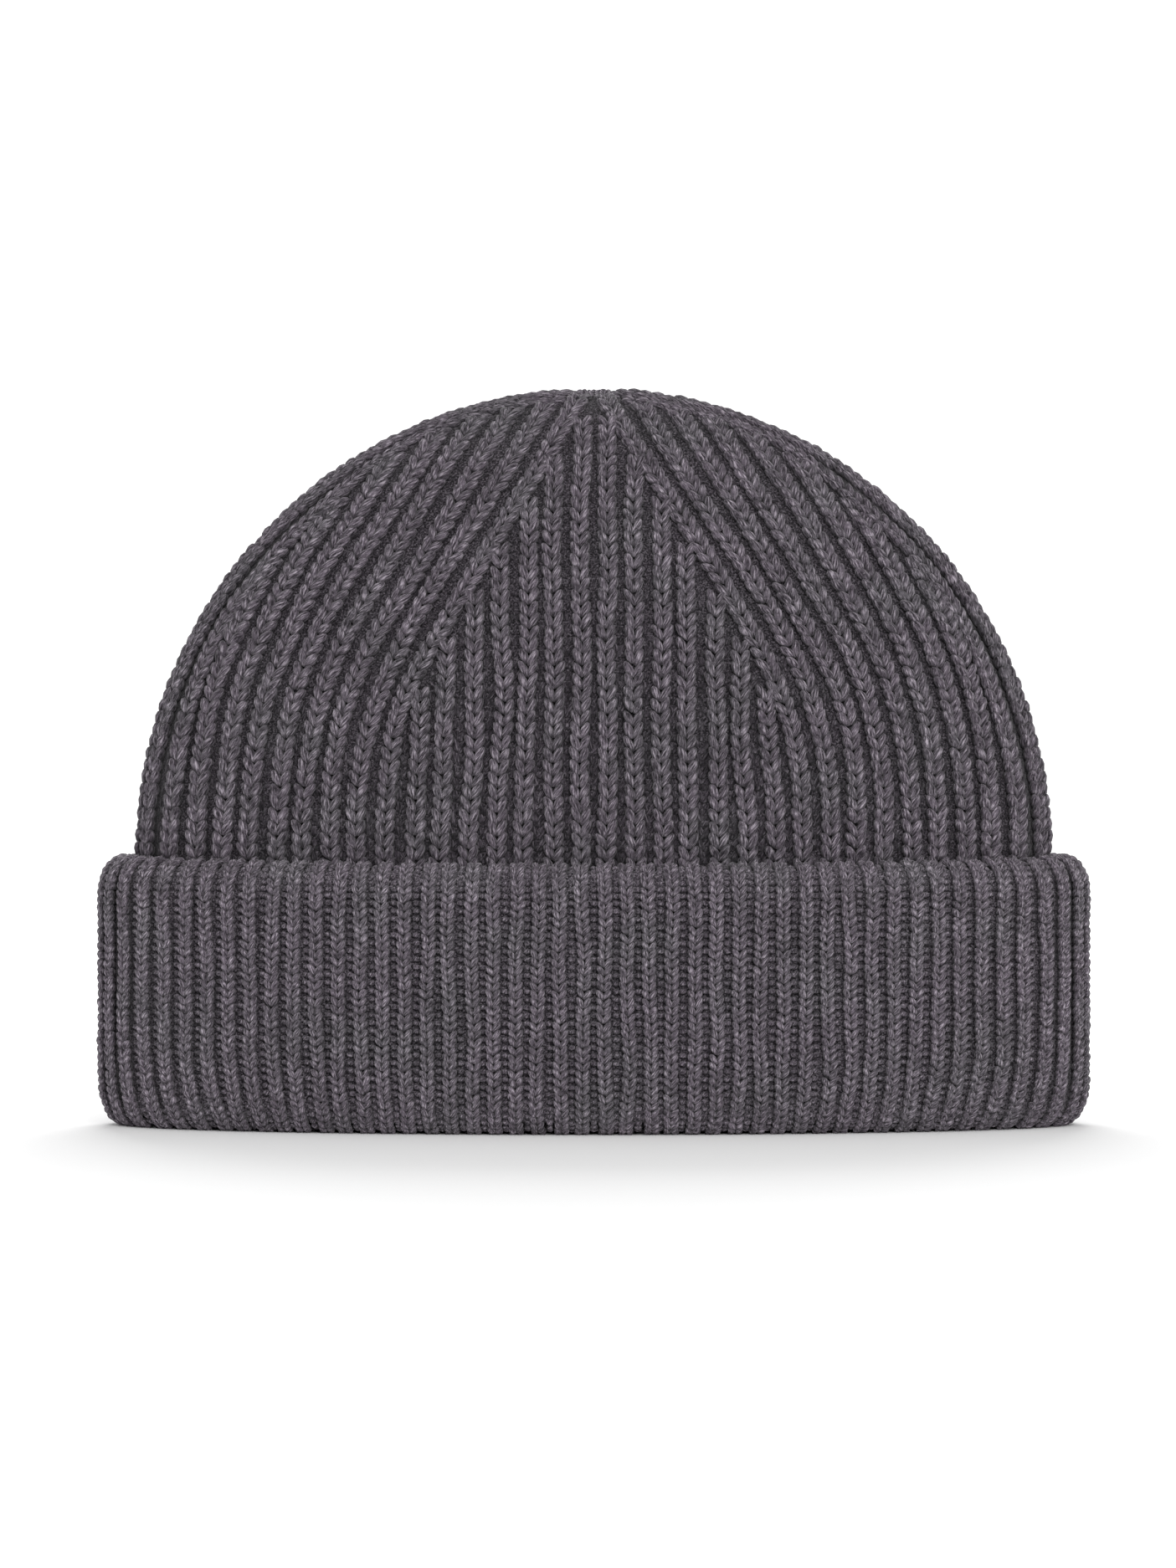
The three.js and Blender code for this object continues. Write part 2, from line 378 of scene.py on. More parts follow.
class Wale:
    """A path up the fabric with its outward normals, and how far its neighbours have spread at each point."""

    def __init__(self, points, normals, spread):
        self.points = points
        self.normals = normals
        self.spread = spread
        steps = np.linalg.norm(np.diff(points, axis=0), axis=1)
        self.walked = np.concatenate([[0.0], np.cumsum(steps)])
        self.length = self.walked[-1]

    def stitches(self, row, phase=0.5):
        """Places, unit tangents, unit normals and spreads at each row along the path."""
        marks = np.arange(phase * row, self.length, row)
        if len(self.points) < 4 or len(marks) == 0:
            return None
        ahead = np.clip(marks + 0.3 * row, 0.0, self.length)
        behind = np.clip(marks - 0.3 * row, 0.0, self.length)
        place = self._along(self.points, marks)
        tangent = unit(self._along(self.points, ahead) - self._along(self.points, behind))
        normal = self._along(self.normals, marks)
        normal = unit(normal - tangent * np.sum(normal * tangent, axis=1, keepdims=True))
        return place, tangent, normal, np.interp(marks, self.walked, self.spread)

    def _along(self, values, marks):
        return np.stack([np.interp(marks, self.walked, values[:, i]) for i in range(3)], axis=-1)


def wander(chance, count, size, reach=7):
    """Smooth random drift along a wale, so that no rib is ruler-straight."""
    loose = chance.normal(0.0, 1.0, count + 2 * reach)
    window = np.hanning(2 * reach + 1)
    return size * np.convolve(loose, window / np.sqrt(np.sum(window**2)), mode="valid")


def knit_wale(knitting, wale, row, pitch, yarn, legs, depth, inward=False):
    """Lays one column of V stitches. depth is how far the legs' middles lie under the surface."""
    found = wale.stitches(row)
    if found is None:
        return
    place, tangent, normal, spread = found
    chance = knitting.chance
    count = len(place)
    if inward:
        normal = -normal
    across = np.cross(tangent, normal)
    sink = depth if not inward else -depth
    sway = wander(chance, count, RIB_SWAY * pitch)
    lift = chance.normal(0.0, LEG_LIFT * yarn, (count, 1))
    middle = place - normal * (sink + lift) + across * sway[:, None]
    width = pitch * spread[:, None]
    for side, bead in zip((-1, 1), legs):
        plump = 1.0 + chance.normal(0.0, LEG_PLUMP, (count, 1))
        slip = chance.normal(0.0, LEG_SLIP * row, (count, 1))
        twist = chance.normal(0.0, LEG_TWIST, (count, 1))
        knitting.lay(
            bead,
            middle + tangent * slip,
            across * width * (1.0 + chance.normal(0.0, LEG_WIDTH, (count, 1))),
            (tangent + across * twist) * row * plump,
            normal * yarn * (1.0 + chance.normal(0.0, LEG_THICKNESS, (count, 1))),
        )


def purl_groove(knitting, wale, row, pitch, yarn, bump, depth, tone_and_shade):
    """Lays the small cross bars in the groove between two ribs. depth gives how deep each place lies, and the
    tone given darkens the bars with painted shade for the groove.
    """
    found = wale.stitches(row, BAR_PHASE)
    if found is None:
        return
    place, tangent, normal, spread = found
    chance = knitting.chance
    count = len(place)
    across = np.cross(tangent, normal)
    knitting.lay(
        bump,
        place - normal * (depth(place)[:, None] + chance.normal(0.0, BAR_LIFT * yarn, (count, 1))),
        across * pitch * spread[:, None] * (1.0 + chance.normal(0.0, BAR_WIDTH, (count, 1))),
        (tangent + across * chance.normal(0.0, BAR_TWIST, (count, 1))) * row,
        normal * yarn,
        tone_and_shade=tone_and_shade,
    )


def leg_pair(segments, rings, size, dive, apart):
    """Two legs that lean together into a V. Sizes are shares of the wale pitch, the row and the yarn."""
    return [
        model_bead(segments, rings, size, lean=side * 0.165, dive=dive, place=(side * -apart, 0.0, 0.0))
        for side in (1, -1)
    ]


def fine_legs():
    """The pair of legs that form one V on a face that shows."""
    return leg_pair(7, 5, (0.37, 1.48, 1.0), dive=0.22, apart=0.165)


def plain_legs():
    """The same pair with fewer faces, for the inside of the fabric."""
    return leg_pair(5, 3, (0.44, 1.8, 0.7), dive=0.16, apart=0.18)


def purl_bump():
    """The short bar of yarn that crosses a groove."""
    return model_bead(6, 3, (0.40, 0.8, 0.7))


# ---------------------------------------------------------------- the crown's paths


def gathered(points, drop, reach):
    """How far the closing yarn draws each point of the apex down."""
    return drop * np.exp(-((np.hypot(points[:, 0], points[:, 1]) / reach) ** 2))


class CrownShape:
    """The crown's outer surface and the routes of its wales over it."""

    def __init__(self, sizes):
        self.half_width = sizes.half_width
        self.half_depth = sizes.half_depth
        self.brim = sizes.brim
        self.rise = sizes.rise
        self.hem = sizes.hem
        self.oval = Oval(sizes.half_width, sizes.half_depth)
        self.quarter = self.oval.round / 4.0
        self.quarter_wales = sizes.quarter_wales
        self.gore_wales = sizes.gore_wales
        self.leading = sizes.gore_wales + 0.5
        self.low_pitch = self.quarter / sizes.quarter_wales
        self.top_pitch = sizes.top_pitch
        self.gather_drop = sizes.gather_drop
        self.gather_reach = sizes.gather_reach
        self.foot = sizes.gore_foot
        self.lean = sizes.gore_lean
        self.side_ribs = sizes.side_ribs
        self.side_draw = sizes.side_draw
        outermost = self.oval.at(self.quarter - self.side_ribs * self.low_pitch)
        self.low_side_pitch = abs(float(outermost[1])) / self.side_ribs
        self.heights = self.heights_to(self.rise, math.pi / 2 - 0.004)

    def heights_to(self, tall, last):
        """Heights up the wall and on up a dome that tall, to the last angle of its climb."""
        wall = np.linspace(self.hem, self.brim, 40, endpoint=False)
        climb = np.linspace(0.0, last, 240)
        return np.concatenate([wall, self.brim + tall * np.sin(climb)])

    def share(self, height):
        """How far up the dome a height is, from 0 at the brim to 1 at the apex."""
        return np.clip((height - self.brim) / self.rise, 0.0, 1.0)

    def pitch(self, height):
        """Distance between the ribs, which reaches its upper value partway up the dome."""
        full_share = 0.4
        blend = smoothstep(self.share(height) / full_share)
        return self.low_pitch + (self.top_pitch - self.low_pitch) * blend

    def point(self, arc, height):
        """The surface point at an arc length from the front centre along the level section at that height."""
        shrink = np.sqrt(np.maximum(1.0 - self.share(height) ** 2, 1e-9))
        x, y = self.oval.at(np.clip(arc / shrink, 0.0, self.quarter))
        return np.stack([x * shrink, y * shrink, height], axis=-1)

    def normal(self, points):
        """The directions that point out of the crown at those points."""
        up = np.maximum(points[:, 2] - self.brim, 0.0) / self.rise**2
        sideways = points[:, 0] / self.half_width**2
        return unit(np.stack([sideways, points[:, 1] / self.half_depth**2, up], axis=-1))

    def leading_arc(self, height):
        """The fashioning wale that bounds the front gore: upright low down, then leaning to the apex."""
        foot_height = self.brim + self.foot * self.rise
        at_foot = (self.gore_wales + 0.05) * self.top_pitch
        leaning = at_foot - self.lean * (height - foot_height)
        upright = self.leading * self.low_pitch
        soft = 4.0 * MM
        arc = -soft * np.log(np.exp(-leaning / soft) + np.exp(-upright / soft))
        nearest = 0.4 * self.top_pitch
        return np.maximum(arc, nearest)

    def route(self, wale):
        """Arc and height arrays of a wale. Whole-and-a-half numbers are ribs, whole numbers are grooves."""
        height = self.heights
        if wale < self.leading:
            arc = wale * self.pitch(height)
            gap = 0.42
            keep = arc < self.leading_arc(height) - gap * self.pitch(height)
            stop = len(keep) if keep.all() else int(np.argmin(keep))
            return arc[:stop], height[:stop]
        arc = self.leading_arc(height)
        if wale == self.leading:
            return arc, height
        run = np.gradient(arc)
        climb = np.gradient(height)
        size = np.hypot(run, climb)
        offset = (wale - self.leading) * self.pitch(height)
        return arc + offset * climb / size, height - offset * run / size

    def wale(self, wale, mirror_x, mirror_y):
        """The Wale at that number, in the quarter that the two mirrors give.

        The ribs of the side edge run right over the top, and the others of the side gore end under them.
        """
        middle_gap = 0.15
        under_from, under_over, under_depth = 0.6, 0.45, 0.6 * MM
        out_of_middle = self.quarter_wales - wale
        if out_of_middle <= self.side_ribs:
            points = self.side_line(out_of_middle)
            spread = self.side_pitch(points[:, 2]) / self.top_pitch
        else:
            arc, height = self.route(wale)
            points, spread = self.over_surface(arc, height)
            tuck = self.side_ribs if wale > self.leading else middle_gap
            local = tuck * self.side_pitch(points[:, 2])
            shut = (np.abs(points[:, 1]) < local) & (points[:, 2] > self.brim - 1.0 * MM)
            stop = int(np.argmax(shut)) if shut.any() else len(points)
            points, spread = points[:stop], spread[:stop]
        if len(points) < 4:
            return None
        if self.leading < wale < self.quarter_wales - self.side_ribs:
            near = self.side_ribs + under_from - np.abs(points[:, 1]) / self.side_pitch(points[:, 2])
            under = smoothstep(near / under_over) * (points[:, 2] > self.brim)
            points = points - self.normal(points) * (under_depth * under)[:, None]
        points[:, 2] -= gathered(points, self.gather_drop, self.gather_reach)
        points = points * np.array([mirror_x, mirror_y, 1.0])
        return Wale(points, self.normal(points), spread)

    def over_surface(self, arc, height):
        """The points of a route, as far as it stays on the crown, and how far its neighbours spread there."""
        nearly_all = 0.9999
        section = self.quarter * np.sqrt(np.maximum(1.0 - self.share(height) ** 2, 0.0))
        inside = (height < self.brim + nearly_all * self.rise) & (arc < section + 1e-6)
        stop = len(arc) if inside.all() else int(np.argmin(inside))
        arc, height = arc[:stop], height[:stop]
        if stop < 4:
            return np.zeros((0, 3)), np.zeros(0)
        points = self.point(arc, height)
        along = unit(np.gradient(points, axis=0))
        run, climb = np.gradient(arc), np.gradient(height)
        size = np.hypot(run, climb)
        nudge = 0.3 * MM
        beside = self.point(arc - nudge * climb / size, height + nudge * run / size)
        apart = beside - points
        apart = apart - along * np.sum(apart * along, axis=1, keepdims=True)
        spread = np.linalg.norm(apart, axis=1) / nudge
        closest, widest = 0.8, 1.45
        local = self.pitch(height) / self.top_pitch
        return points, np.clip(spread, closest, widest) * local

    def side_pitch(self, height):
        """Distance between the ribs of the side edge, which are evened with the others low down."""
        even_to, draw_from, draw_over = 0.7, 0.72, 0.25
        low = 1.0 - smoothstep(self.share(height) / even_to)
        high = smoothstep((self.share(height) - draw_from) / draw_over)
        return self.top_pitch * (1.0 - self.side_draw * high) + (self.low_side_pitch - self.top_pitch) * low

    def side_line(self, out_of_middle):
        """An outermost wale, which follows the side edge over the top, a number of ribs from its middle."""
        at_top = out_of_middle * (1.0 - self.side_draw) * self.top_pitch
        highest = math.sqrt(1.0 - (at_top / self.half_depth) ** 2)
        height = self.heights_to(self.rise * highest, math.pi / 2)
        y = -out_of_middle * self.side_pitch(height)
        inside = 1.0 - self.share(height) ** 2 - (y / self.half_depth) ** 2
        x = self.half_width * np.sqrt(np.maximum(inside, 0.0))
        points = np.stack([x, y, height], axis=-1)
        from_apex = (0.5 + 0.25 * out_of_middle) * self.top_pitch
        return points[x > from_apex]


# Each knitted piece of the crown: its gore's node and the mirrors that place the quarters it covers.
CROWN_PIECES = {
    "front": ("front", [(1, 1), (-1, 1)]),
    "back": ("back", [(1, -1), (-1, -1)]),
    "left_front": ("left", [(1, 1)]),
    "left_back": ("left", [(1, -1)]),
    "right_front": ("right", [(-1, 1)]),
    "right_back": ("right", [(-1, -1)]),
}


def gore_numbers(shape, gore, step):
    """Wale numbers in half of a gore: step 0.5 gives the ribs and step 0 the grooves."""
    if gore in ("front", "back"):
        return [i + step for i in range(shape.gore_wales)]
    return [i + step for i in range(shape.gore_wales, int(shape.quarter_wales + 0.5))]


def knit_gore(shape, sizes, name, gore, quarters, seed):
    """Some quarters of a gore: its ribs' face, the purl bars between them and the ribs of the inside."""
    knitting = Knitting(seed)
    legs, inner_legs, bump = fine_legs(), plain_legs(), purl_bump()
    pitch, row, yarn = sizes.top_pitch, sizes.row, sizes.yarn
    inner_depth = sizes.wall - 0.3 * yarn

    def groove_depth(place):
        """The crown's grooves are equally deep all the way up."""
        return np.full(len(place), 1.2 * yarn)

    for mirror_x, mirror_y in quarters:
        for wale_number in gore_numbers(shape, gore, 0.5):
            if wale_number == shape.quarter_wales and mirror_y < 0:
                continue
            wale = shape.wale(wale_number, mirror_x, mirror_y)
            if wale is not None:
                knit_wale(knitting, wale, row, pitch, yarn, legs, depth=LEG_DEPTH * yarn)
        for wale_number in gore_numbers(shape, gore, 0.0):
            if wale_number == 0 and mirror_x < 0:
                continue
            wale = shape.wale(wale_number, mirror_x, mirror_y)
            if wale is not None:
                # The crown's purl bars are darkened strongly with painted shade, for the shade deep in its
                # grooves.
                purl_groove(knitting, wale, row, pitch, yarn, bump, groove_depth, tone_and_shade=-0.95)
                knit_wale(knitting, wale, row, pitch, yarn, inner_legs, depth=inner_depth, inward=True)
    return knitting.cast_off(name)


# ---------------------------------------------------------------- the cuff's paths


class CuffShape:
    """The closed band of the cuff, as offsets from its outer oval."""

    def __init__(self, sizes):
        self.sizes = sizes
        self.oval = Oval(sizes.half_width, sizes.half_depth)

    def face_profile(self):
        """Outward offsets, heights and normals from inside the rim, up the face and over the top fold."""
        sizes = self.sizes
        from_lining = 1.2 * MM
        inside = [(-sizes.thick + from_lining, 0.0, 0.0, -1.0)]
        low = round_over(-math.pi / 2, 0.0, sizes.foot_round, sizes.foot_rise, 0.0, sizes.foot_rise)
        fall = sizes.top_fall
        high = round_over(0.0, math.pi / 2, sizes.top_round, fall, 0.0, sizes.height - fall)
        inner = sizes.inner_round
        turned_in = inner - sizes.top_round
        over = round_over(math.pi / 2, math.pi * 0.9, inner, inner, turned_in, sizes.height - inner)
        return np.array(inside + low + high + over)

    def lining_profile(self):
        """The same for the inner face, going down from the top fold to the rim."""
        sizes = self.sizes
        top = (-sizes.thick, sizes.height - sizes.inner_round, -1.0, 0.0)
        middle = (-sizes.thick, sizes.height / 2, -1.0, 0.0)
        foot = (-sizes.thick, 1.5 * MM, -1.0, 0.0)
        return np.array([top, middle, foot])

    def wale(self, profile, arc):
        """A rib up the band. By the sides and near the rim it drifts to the middle of the front or back."""
        turned = (arc % (self.oval.round / 2)) / (self.oval.round / 4) - 1.0
        sideways = 1.0 - abs(turned)
        dip = self.sizes.top_dip * (1.0 - sideways**2)
        height = profile[:, 1] - dip * smoothstep(profile[:, 1] / self.sizes.height)
        low = smoothstep((self.sizes.sag_rise - height) / self.sizes.sag_rise)
        gain = 1.5
        drift = gain * self.sizes.sag * sideways**2 * (1.0 - sideways**6) * low
        arcs = arc + math.copysign(1.0, turned) * drift
        x, y = self.oval.at(arcs)
        out = self.oval.outward(arcs)
        points = np.stack([x + out[:, 0] * profile[:, 0], y + out[:, 1] * profile[:, 0], height], axis=-1)
        normals = np.stack([out[:, 0] * profile[:, 2], out[:, 1] * profile[:, 2], profile[:, 3]], axis=-1)
        return Wale(points, unit(normals), self.oval.spread(arcs))


def round_over(start, end, across, up, middle, height):
    """A quarter turn of a section, as offsets, heights and normals. across and up are its half sizes."""
    return [
        (
            middle - across + across * math.cos(t),
            height + up * math.sin(t),
            math.cos(t) / across,
            math.sin(t) / up,
        )
        for t in np.linspace(start, end, 30)
    ]


def dense(profile, step=0.5 * MM):
    """The profile with points at an even, small step."""
    walked = np.concatenate([[0.0], np.cumsum(np.hypot(np.diff(profile[:, 0]), np.diff(profile[:, 1])))])
    marks = np.linspace(0.0, walked[-1], max(int(walked[-1] / step), 4))
    return np.stack([np.interp(marks, walked, profile[:, i]) for i in range(4)], axis=-1)


def knit_cuff_face(shape, sizes, quarter, seed):
    """A quarter of the cuff's face, from under the rim to behind the top fold."""
    knitting = Knitting(seed)
    legs, bump = fine_legs(), purl_bump()
    pitch = shape.oval.round / sizes.wales
    profile = dense(shape.face_profile())
    share = sizes.wales // 4
    top = sizes.height

    def groove_depth(place):
        """The grooves grow shallow at the top fold and at the rim."""
        near_fold = smoothstep((place[:, 2] - (top - 5.0 * MM)) / (4.0 * MM))
        near_rim = smoothstep((7.0 * MM - place[:, 2]) / (5.0 * MM))
        return (1.08 - 0.4 * near_fold - 0.45 * near_rim) * sizes.yarn

    for i in range(quarter * share, (quarter + 1) * share):
        rib = shape.wale(profile, (i + 0.5) * pitch)
        rib.spread = sizes.rib_share * (0.5 + 0.5 * rib.spread)
        knit_wale(knitting, rib, sizes.row, pitch, sizes.yarn, legs, depth=LEG_DEPTH * sizes.yarn)
        groove = shape.wale(profile, i * pitch)
        # The cuff's purl bars are darkened slightly with painted shade.
        purl_groove(knitting, groove, sizes.row, pitch, sizes.yarn, bump, groove_depth, tone_and_shade=-0.1)
    return knitting.cast_off(f"cuff_face_knit_{quarter + 1}")


def knit_cuff_lining(shape, sizes, seed):
    """The band's inner face, next to the crown."""
    knitting = Knitting(seed)
    legs = plain_legs()
    pitch = shape.oval.round / sizes.wales
    inner_share = 0.93
    depth = 0.42 * sizes.yarn
    profile = dense(shape.lining_profile())
    for i in range(sizes.wales):
        wale = shape.wale(profile, (i + 0.5) * pitch)
        knit_wale(knitting, wale, sizes.row, pitch * inner_share, sizes.yarn, legs, depth)
    return knitting.cast_off("cuff_lining_knit")


# ---------------------------------------------------------------- ground fabric behind the stitches


def crown_ground(sizes):
    """The closed shell of fabric that the crown's stitches stand on: half a ball drawn down to the hem."""
    inset = 1.1 * sizes.yarn
    deselect()
    bpy.ops.mesh.primitive_uv_sphere_add(segments=96, ring_count=48, radius=1.0)
    shell = bpy.context.object
    shell.name = "crown_ground_knit"
    bpy.ops.object.mode_set(mode="EDIT")
    bpy.ops.mesh.select_all(action="SELECT")
    bpy.ops.mesh.bisect(plane_co=(0, 0, 0), plane_no=(0, 0, 1), clear_inner=True)
    bpy.ops.mesh.select_all(action="SELECT")
    bpy.ops.mesh.remove_doubles(threshold=1e-5)
    bpy.ops.mesh.region_to_loop()
    bpy.ops.mesh.extrude_edges_move(TRANSFORM_OT_translate={"value": (0, 0, -1.0)})
    bpy.ops.object.mode_set(mode="OBJECT")
    points = mesh_points(shell.data)
    tall = sizes.rise - 0.5 * inset
    deep = sizes.brim - sizes.hem
    width, depth = sizes.half_width - inset, sizes.half_depth - inset
    height = np.where(points[:, 2] > 0, points[:, 2] * tall, points[:, 2] * deep) + sizes.brim
    points = np.stack([points[:, 0] * width, points[:, 1] * depth, height], axis=-1)
    points[:, 2] -= gathered(points, 0.4 * sizes.gather_drop, sizes.gather_reach)
    set_mesh_points(shell.data, points)
    pick(shell)
    solidify = shell.modifiers.new("wall", "SOLIDIFY")
    solidify.thickness = 0.4 * MM
    solidify.offset = -1.0
    bpy.ops.object.modifier_apply(modifier=solidify.name)
    bpy.ops.object.shade_smooth_by_angle(angle=math.radians(50))
    return shell


def cuff_ground(shape, sizes):
    """The closed band that the cuff's stitches stand on: a rounded section spun round, then made oval."""
    inset = 1.35 * sizes.yarn
    radius = sizes.half_width
    low, high = inset, sizes.height - inset
    outer, inner = radius - inset, radius - sizes.thick + 0.75 * sizes.yarn
    deselect()
    bpy.ops.mesh.primitive_plane_add(size=1.0, rotation=(math.pi / 2, 0, 0))
    band = bpy.context.object
    band.name = "cuff_ground_knit"
    band.location = ((outer + inner) / 2, 0, (low + high) / 2)
    band.scale = (outer - inner, high - low, 1.0)
    bpy.ops.object.transform_apply(location=True, rotation=True, scale=True)
    bpy.ops.object.mode_set(mode="EDIT")
    bpy.ops.mesh.select_all(action="SELECT")
    bpy.ops.mesh.bevel(offset=0.45 * (outer - inner), segments=4, affect="VERTICES")
    bpy.ops.mesh.select_all(action="SELECT")
    bpy.ops.mesh.spin(steps=160, angle=2 * math.pi, center=(0, 0, 0), axis=(0, 0, 1), dupli=False)
    bpy.ops.mesh.select_all(action="SELECT")
    bpy.ops.mesh.remove_doubles(threshold=0.02 * MM)
    bpy.ops.object.mode_set(mode="OBJECT")
    points = mesh_points(band.data)
    turn = np.arctan2(points[:, 0], -points[:, 1]) % (2 * math.pi)
    arc = np.interp(turn, np.linspace(0, 2 * math.pi, len(shape.oval.walked)), shape.oval.walked)
    x, y = shape.oval.at(arc)
    out = shape.oval.outward(arc)
    offset = np.hypot(points[:, 0], points[:, 1]) - radius
    moved = np.stack([x + out[:, 0] * offset, y + out[:, 1] * offset, points[:, 2]], axis=-1)
    set_mesh_points(band.data, moved)
    drop_inner_faces(band)
    bpy.ops.object.shade_smooth_by_angle(angle=math.radians(50))
    return band


def drop_inner_faces(obj):
    """Removes the section face that a full spin leaves inside the ring, and points the rest outwards."""
    pick(obj)
    bpy.ops.object.mode_set(mode="EDIT")
    bpy.ops.mesh.select_all(action="DESELECT")
    bpy.ops.mesh.select_interior_faces()
    bpy.ops.mesh.delete(type="ONLY_FACE")
    bpy.ops.mesh.select_all(action="SELECT")
    bpy.ops.mesh.normals_make_consistent(inside=False)
    bpy.ops.object.mode_set(mode="OBJECT")


# ---------------------------------------------------------------- yarn ends, seams and label


def strand(name, paths, thickness, closed=False):
    """Lengths of round yarn along the paths, made as bevelled curves and turned into one closed mesh."""
    curve = bpy.data.curves.new(name, "CURVE")
    curve.dimensions = "3D"
    curve.bevel_depth = thickness / 2
    curve.bevel_resolution = 2
    curve.use_fill_caps = True
    for path in paths:
        line = curve.splines.new("POLY")
        line.points.add(len(path) - 1)
        line.points.foreach_set("co", np.column_stack([path, np.ones(len(path))]).ravel())
        line.use_cyclic_u = closed
    piece = bpy.data.objects.new(name, curve)
    bpy.context.scene.collection.objects.link(piece)
    pick(piece)
    bpy.ops.object.convert(target="MESH")
    bpy.ops.object.mode_set(mode="EDIT")
    bpy.ops.mesh.select_all(action="SELECT")
    bpy.ops.mesh.remove_doubles(threshold=0.01 * MM)
    bpy.ops.mesh.normals_make_consistent(inside=False)
    bpy.ops.object.mode_set(mode="OBJECT")
    bpy.ops.object.shade_smooth()
    return bpy.context.object


def plies(path, radius, twists, count=2):
    """The paths of the plies that twist round the given path."""
    along = unit(np.gradient(path, axis=0))
    side = unit(np.cross(along, np.array([0.013, 0.021, 1.0])))
    other = np.cross(along, side)
    turn = np.linspace(0.0, 2.0 * math.pi * twists, len(path))
    found = []
    for i in range(count):
        angle = (turn + 2.0 * math.pi * i / count)[:, None]
        found.append(path + radius * (side * np.cos(angle) + other * np.sin(angle)))
    return found


def middle_of(low, high):
    """The middle of a box, given its two corners."""
    return (np.array(low) + np.array(high)) / 2


def closing_ring():
    """The yarn that runs through the last stitches and draws them together."""
    radius = (RING_HIGH[0] - RING_LOW[0]) / 2 - 0.9 * MM
    steps = 96
    turn = np.linspace(0.0, 2.0 * math.pi, steps + 1)[:-1]
    centre = middle_of(RING_LOW, RING_HIGH)
    wave = 0.25 * MM * np.sin(5 * turn)
    circle = centre + np.stack([radius * np.cos(turn), radius * np.sin(turn), wave], axis=-1)
    closed_twists = 9 * (steps - 1) / steps
    return strand("crown_closing_strands", plies(circle, 0.42 * MM, closed_twists), 0.95 * MM, closed=True)


def closing_knot():
    """The closing yarn's knot inside the apex, with the short end that is left beyond it."""
    centre = middle_of(KNOT_LOW, KNOT_HIGH)
    size = 0.55 * MM
    turn = np.linspace(0.0, 2.0 * math.pi, 73)[:-1]
    loop = np.stack(
        [np.sin(turn) + 2 * np.sin(2 * turn), np.cos(turn) - 2 * np.cos(2 * turn), -np.sin(3 * turn)], axis=-1
    )
    knot = strand("closing_knot_loops", [centre + size * loop], 1.0 * MM, closed=True)
    step = np.linspace(0.0, 1.0, 24)
    up = np.array([3.2 * MM, 0.0, RING_LOW[2]])
    rising = centre + (up - centre) * step[:, None]
    swing = -3.0 * MM * np.sin(2.2 * step)
    hanging = centre + np.stack([swing, 1.5 * MM * step, -7.0 * MM * step**1.3], axis=-1)
    ends = strand("closing_knot_ends", plies(rising, 0.3 * MM, 2) + plies(hanging, 0.3 * MM, 3), 0.7 * MM)
    pick(knot)
    ends.select_set(True)
    bpy.ops.object.join()
    return knot


def chain(name, seed, points, normals, width, row, yarn):
    """A chain of linked loops along a path, as linking leaves it."""
    knitting = Knitting(seed)
    wale = Wale(points, normals, np.ones(len(points)))
    even_row = wale.length / max(round(wale.length / row), 1)
    knit_wale(knitting, wale, even_row, width / LEGS_ACROSS, yarn, fine_legs(), depth=LEG_DEPTH * yarn)
    return knitting.cast_off(name)


def back_seam(sizes):
    """The linked seam that runs up the inside of the crown's back."""
    gap = 0.4 * MM
    thick = 2.0 * MM
    inset = sizes.wall + gap + thick
    low = sizes.hem + 4.6 * MM
    climb = np.linspace(0.0, math.radians(84), 120)
    depth, tall = sizes.half_depth - inset, sizes.rise - inset
    y = np.concatenate([np.full(30, depth), depth * np.cos(climb)])
    z = np.concatenate([np.linspace(low, sizes.brim, 30, endpoint=False), sizes.brim + tall * np.sin(climb)])
    up = np.maximum(z - sizes.brim, 0.0) / tall**2
    normals = -unit(np.stack([np.zeros(len(y)), y / depth**2, up], axis=-1))
    points = np.stack([0 * y, y, z], axis=-1)
    return chain("crown_back_link", 51, points, normals, width=5.0 * MM, row=3.2 * MM, yarn=thick)


def rim_seam():
    """The chain of yarn round the rim that links the crown to the band."""
    middle = 1.7 * MM
    oval = Oval(LINK_HIGH[0] - middle, LINK_HIGH[1] - middle)
    arc = np.linspace(0.0, oval.round, 1200)
    x, y = oval.at(arc)
    points = np.stack([x, y, np.full(len(x), LINK_LOW[2])], axis=-1)
    normals = np.tile([0.0, 0.0, -1.0], (len(x), 1))
    return chain("rim_link", 52, points, normals, width=3.4 * MM, row=2.9 * MM, yarn=2.2 * MM)


def band_seam():
    """The chain that closes the band, between its two layers."""
    z = np.linspace(BAND_SEAM_LOW[2], BAND_SEAM_HIGH[2], 60)
    points = np.stack([0 * z, np.full(len(z), BAND_SEAM_HIGH[1]), z], axis=-1)
    normals = np.tile([0.0, 1.0, 0.0], (len(z), 1))
    thick = BAND_SEAM_HIGH[1] - BAND_SEAM_LOW[1]
    return chain("band_link", 53, points, normals, width=5.0 * MM, row=2.6 * MM, yarn=thick)


